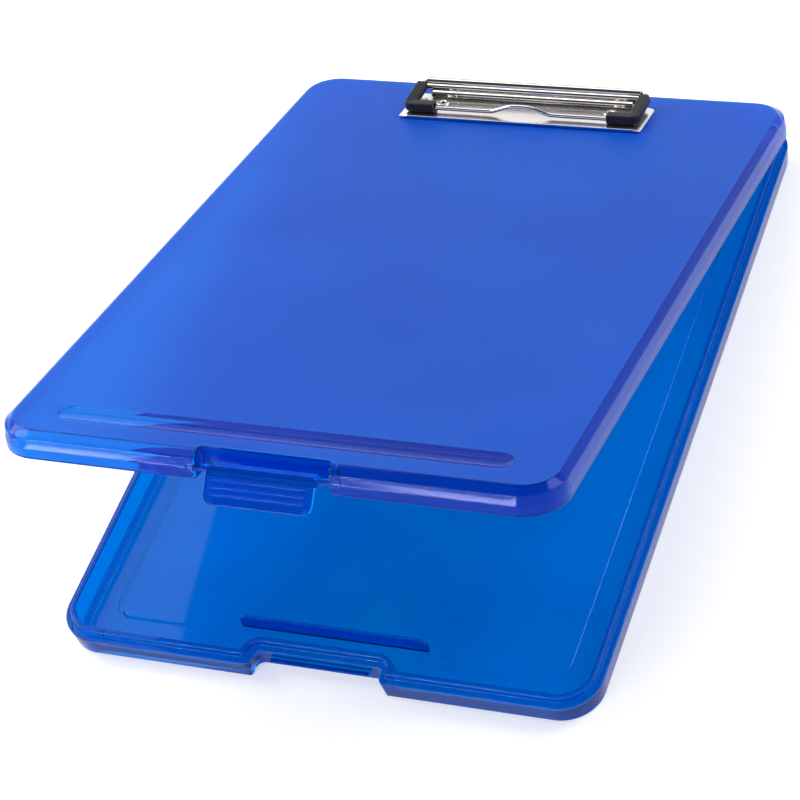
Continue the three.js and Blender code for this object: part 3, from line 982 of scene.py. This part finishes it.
def grip_corner(name, sign):
    """A soft sleeve over one front corner of the bail."""
    bend = 1.2
    rear = ROLL.y - 2.7 - BAR.y

    def place(x, along):
        return Vector((sign * x, BAR.y + along, BAR.z + 0.6 + along * BAIL_SLOPE * 0.7))

    points = [
        place(ARM_X - SLEEVE_REACH, 0),
        place(ARM_X - SLEEVE_REACH / 2, 0),
        place(ARM_X - bend, 0),
        place(ARM_X - 0.3 * bend, 0.3 * bend),
        place(ARM_X, bend),
        place(ARM_X, rear / 2),
        place(ARM_X, rear),
    ]
    line = smooth_line(points, 6)
    wide = SLEEVE_HALF_WIDTH
    high = SLEEVE_HALF_HEIGHT
    outer = rounded_box(-wide, wide, -high, high, 0.9, 5)
    across = Vector((0, 1, 0))
    skin = Skin()
    outside = skin.rings(sections(line, across, outer))
    hole = WIRE_RADIUS + 0.15
    bore = []
    for u, v in outer:
        away = Vector((u, v)).normalized() * hole
        bore.append((away.x, away.y - 0.6))
    inside = skin.rings(sections(line, across, bore))
    skin.bridge(outside[0], inside[0])
    skin.bridge(outside[-1], inside[-1])
    sleeve = soften(skin.made(name + "_sleeve"), 0.5, 3, 60)
    finish_piece(sleeve, LID, "jaw", name, "rubber", rubber)


# ---- studio ----
def camera():
    """Looks at the case from its front right, from above, with the horizon tipped."""
    azimuth = math.radians(32.27)
    elevation = math.radians(45.51)
    tip = math.radians(-18.22)
    distance = 1.2568
    aim = Vector((-0.0177, -0.0152, 0.0))
    reach = math.cos(elevation)
    back = Vector((math.sin(azimuth) * reach, -math.cos(azimuth) * reach, math.sin(elevation)))
    data = bpy.data.cameras.new("camera")
    data.sensor_width = 36
    data.lens = 127.63
    data.clip_end = 20
    made = bpy.data.objects.new("camera", data)
    level = (-back).to_track_quat("-Z", "Y").to_matrix().to_4x4()
    made.matrix_world = Matrix.Translation(aim + back * distance) @ level @ Matrix.Rotation(tip, 4, "Z")
    bpy.context.scene.collection.objects.link(made)
    bpy.context.scene.camera = made


def softbox(name, place, aim, width, height, power):
    data = bpy.data.lights.new(name, "AREA")
    data.shape = "RECTANGLE"
    data.size = width
    data.size_y = height
    data.energy = power
    made = bpy.data.objects.new(name, data)
    made.location = place
    made.rotation_euler = (Vector(aim) - Vector(place)).to_track_quat("-Z", "Y").to_euler()
    bpy.context.scene.collection.objects.link(made)


def studio_floor():
    """A pale matt floor that glows a little."""
    skin = Skin()
    reach = 6.0
    skin.cap(skin.ring([(-reach, -reach, 0), (reach, -reach, 0), (reach, reach, 0), (-reach, reach, 0)]))
    floor = skin.made("studio_floor")
    look = Look("pale_floor")
    look.colour(look.noise(3, 2), (0.86, 0.86, 0.87), (0.88, 0.88, 0.88))
    look.set("Roughness", 0.9)
    look.set("Emission Color", (1, 1, 1, 1))
    look.set("Emission Strength", 0.45)
    floor.data.materials.append(look.material)
    floor.location.z = -0.0002


def studio():
    """A sky that is bright low down and dark overhead, and four softboxes."""
    scene = bpy.context.scene
    scene.view_settings.view_transform = "Standard"
    world = bpy.data.worlds.new("studio")
    world.use_nodes = True
    nodes = world.node_tree.nodes
    links = world.node_tree.links
    sky = nodes["Background"]
    direction = nodes.new("ShaderNodeTexCoord")
    split = nodes.new("ShaderNodeSeparateXYZ")
    links.new(direction.outputs["Generated"], split.inputs["Vector"])
    ramp = nodes.new("ShaderNodeValToRGB")
    ramp.color_ramp.elements[0].position = 0.0
    ramp.color_ramp.elements[0].color = (1, 1, 1, 1)
    for position, grey in ((0.4, 1.0), (0.52, 0.15), (0.6, 0.06)):
        stop = ramp.color_ramp.elements.new(position)
        stop.color = (grey, grey, grey * 1.02, 1)
    ramp.color_ramp.elements[-1].position = 1.0
    ramp.color_ramp.elements[-1].color = (0.05, 0.05, 0.05, 1)
    links.new(split.outputs["Z"], ramp.inputs["Fac"])
    links.new(ramp.outputs["Color"], sky.inputs["Color"])
    sky.inputs["Strength"].default_value = 1.1
    scene.world = world
    softbox("front", (-0.95, -2.3, 0.45), (0, -0.16, 0.1), width=1.7, height=0.34, power=45)
    softbox("ceiling", (-0.8, 1.3, 1.9), (0, 0, 0), width=2.0, height=1.2, power=14)
    softbox("key_left", (-1.5, 0.3, 1.4), (0, 0, 0), width=1.0, height=1.0, power=22)
    softbox("key_right", (1.3, 0.9, 1.5), (0, 0, 0), width=1.0, height=1.0, power=18)


camera()
base_tray()
lid_panel()
latch_flap()
hinge_pin("hinge_pin_left", -HINGE_X)
hinge_pin("hinge_pin_right", HINGE_X)
base_plate()
pivot_rod()
torsion_spring("clip_spring_left", -SPRING_X)
torsion_spring("clip_spring_right", SPRING_X)
hollow_rivet("clip_rivet_left", -RIVET_X)
hollow_rivet("clip_rivet_right", RIVET_X)
rivet_washer("rivet_washer_left", -RIVET_X)
rivet_washer("rivet_washer_right", RIVET_X)
clip_lever()
clip_bail()
grip_corner("grip_corner_left", -1)
grip_corner("grip_corner_right", 1)
studio_floor()
studio()
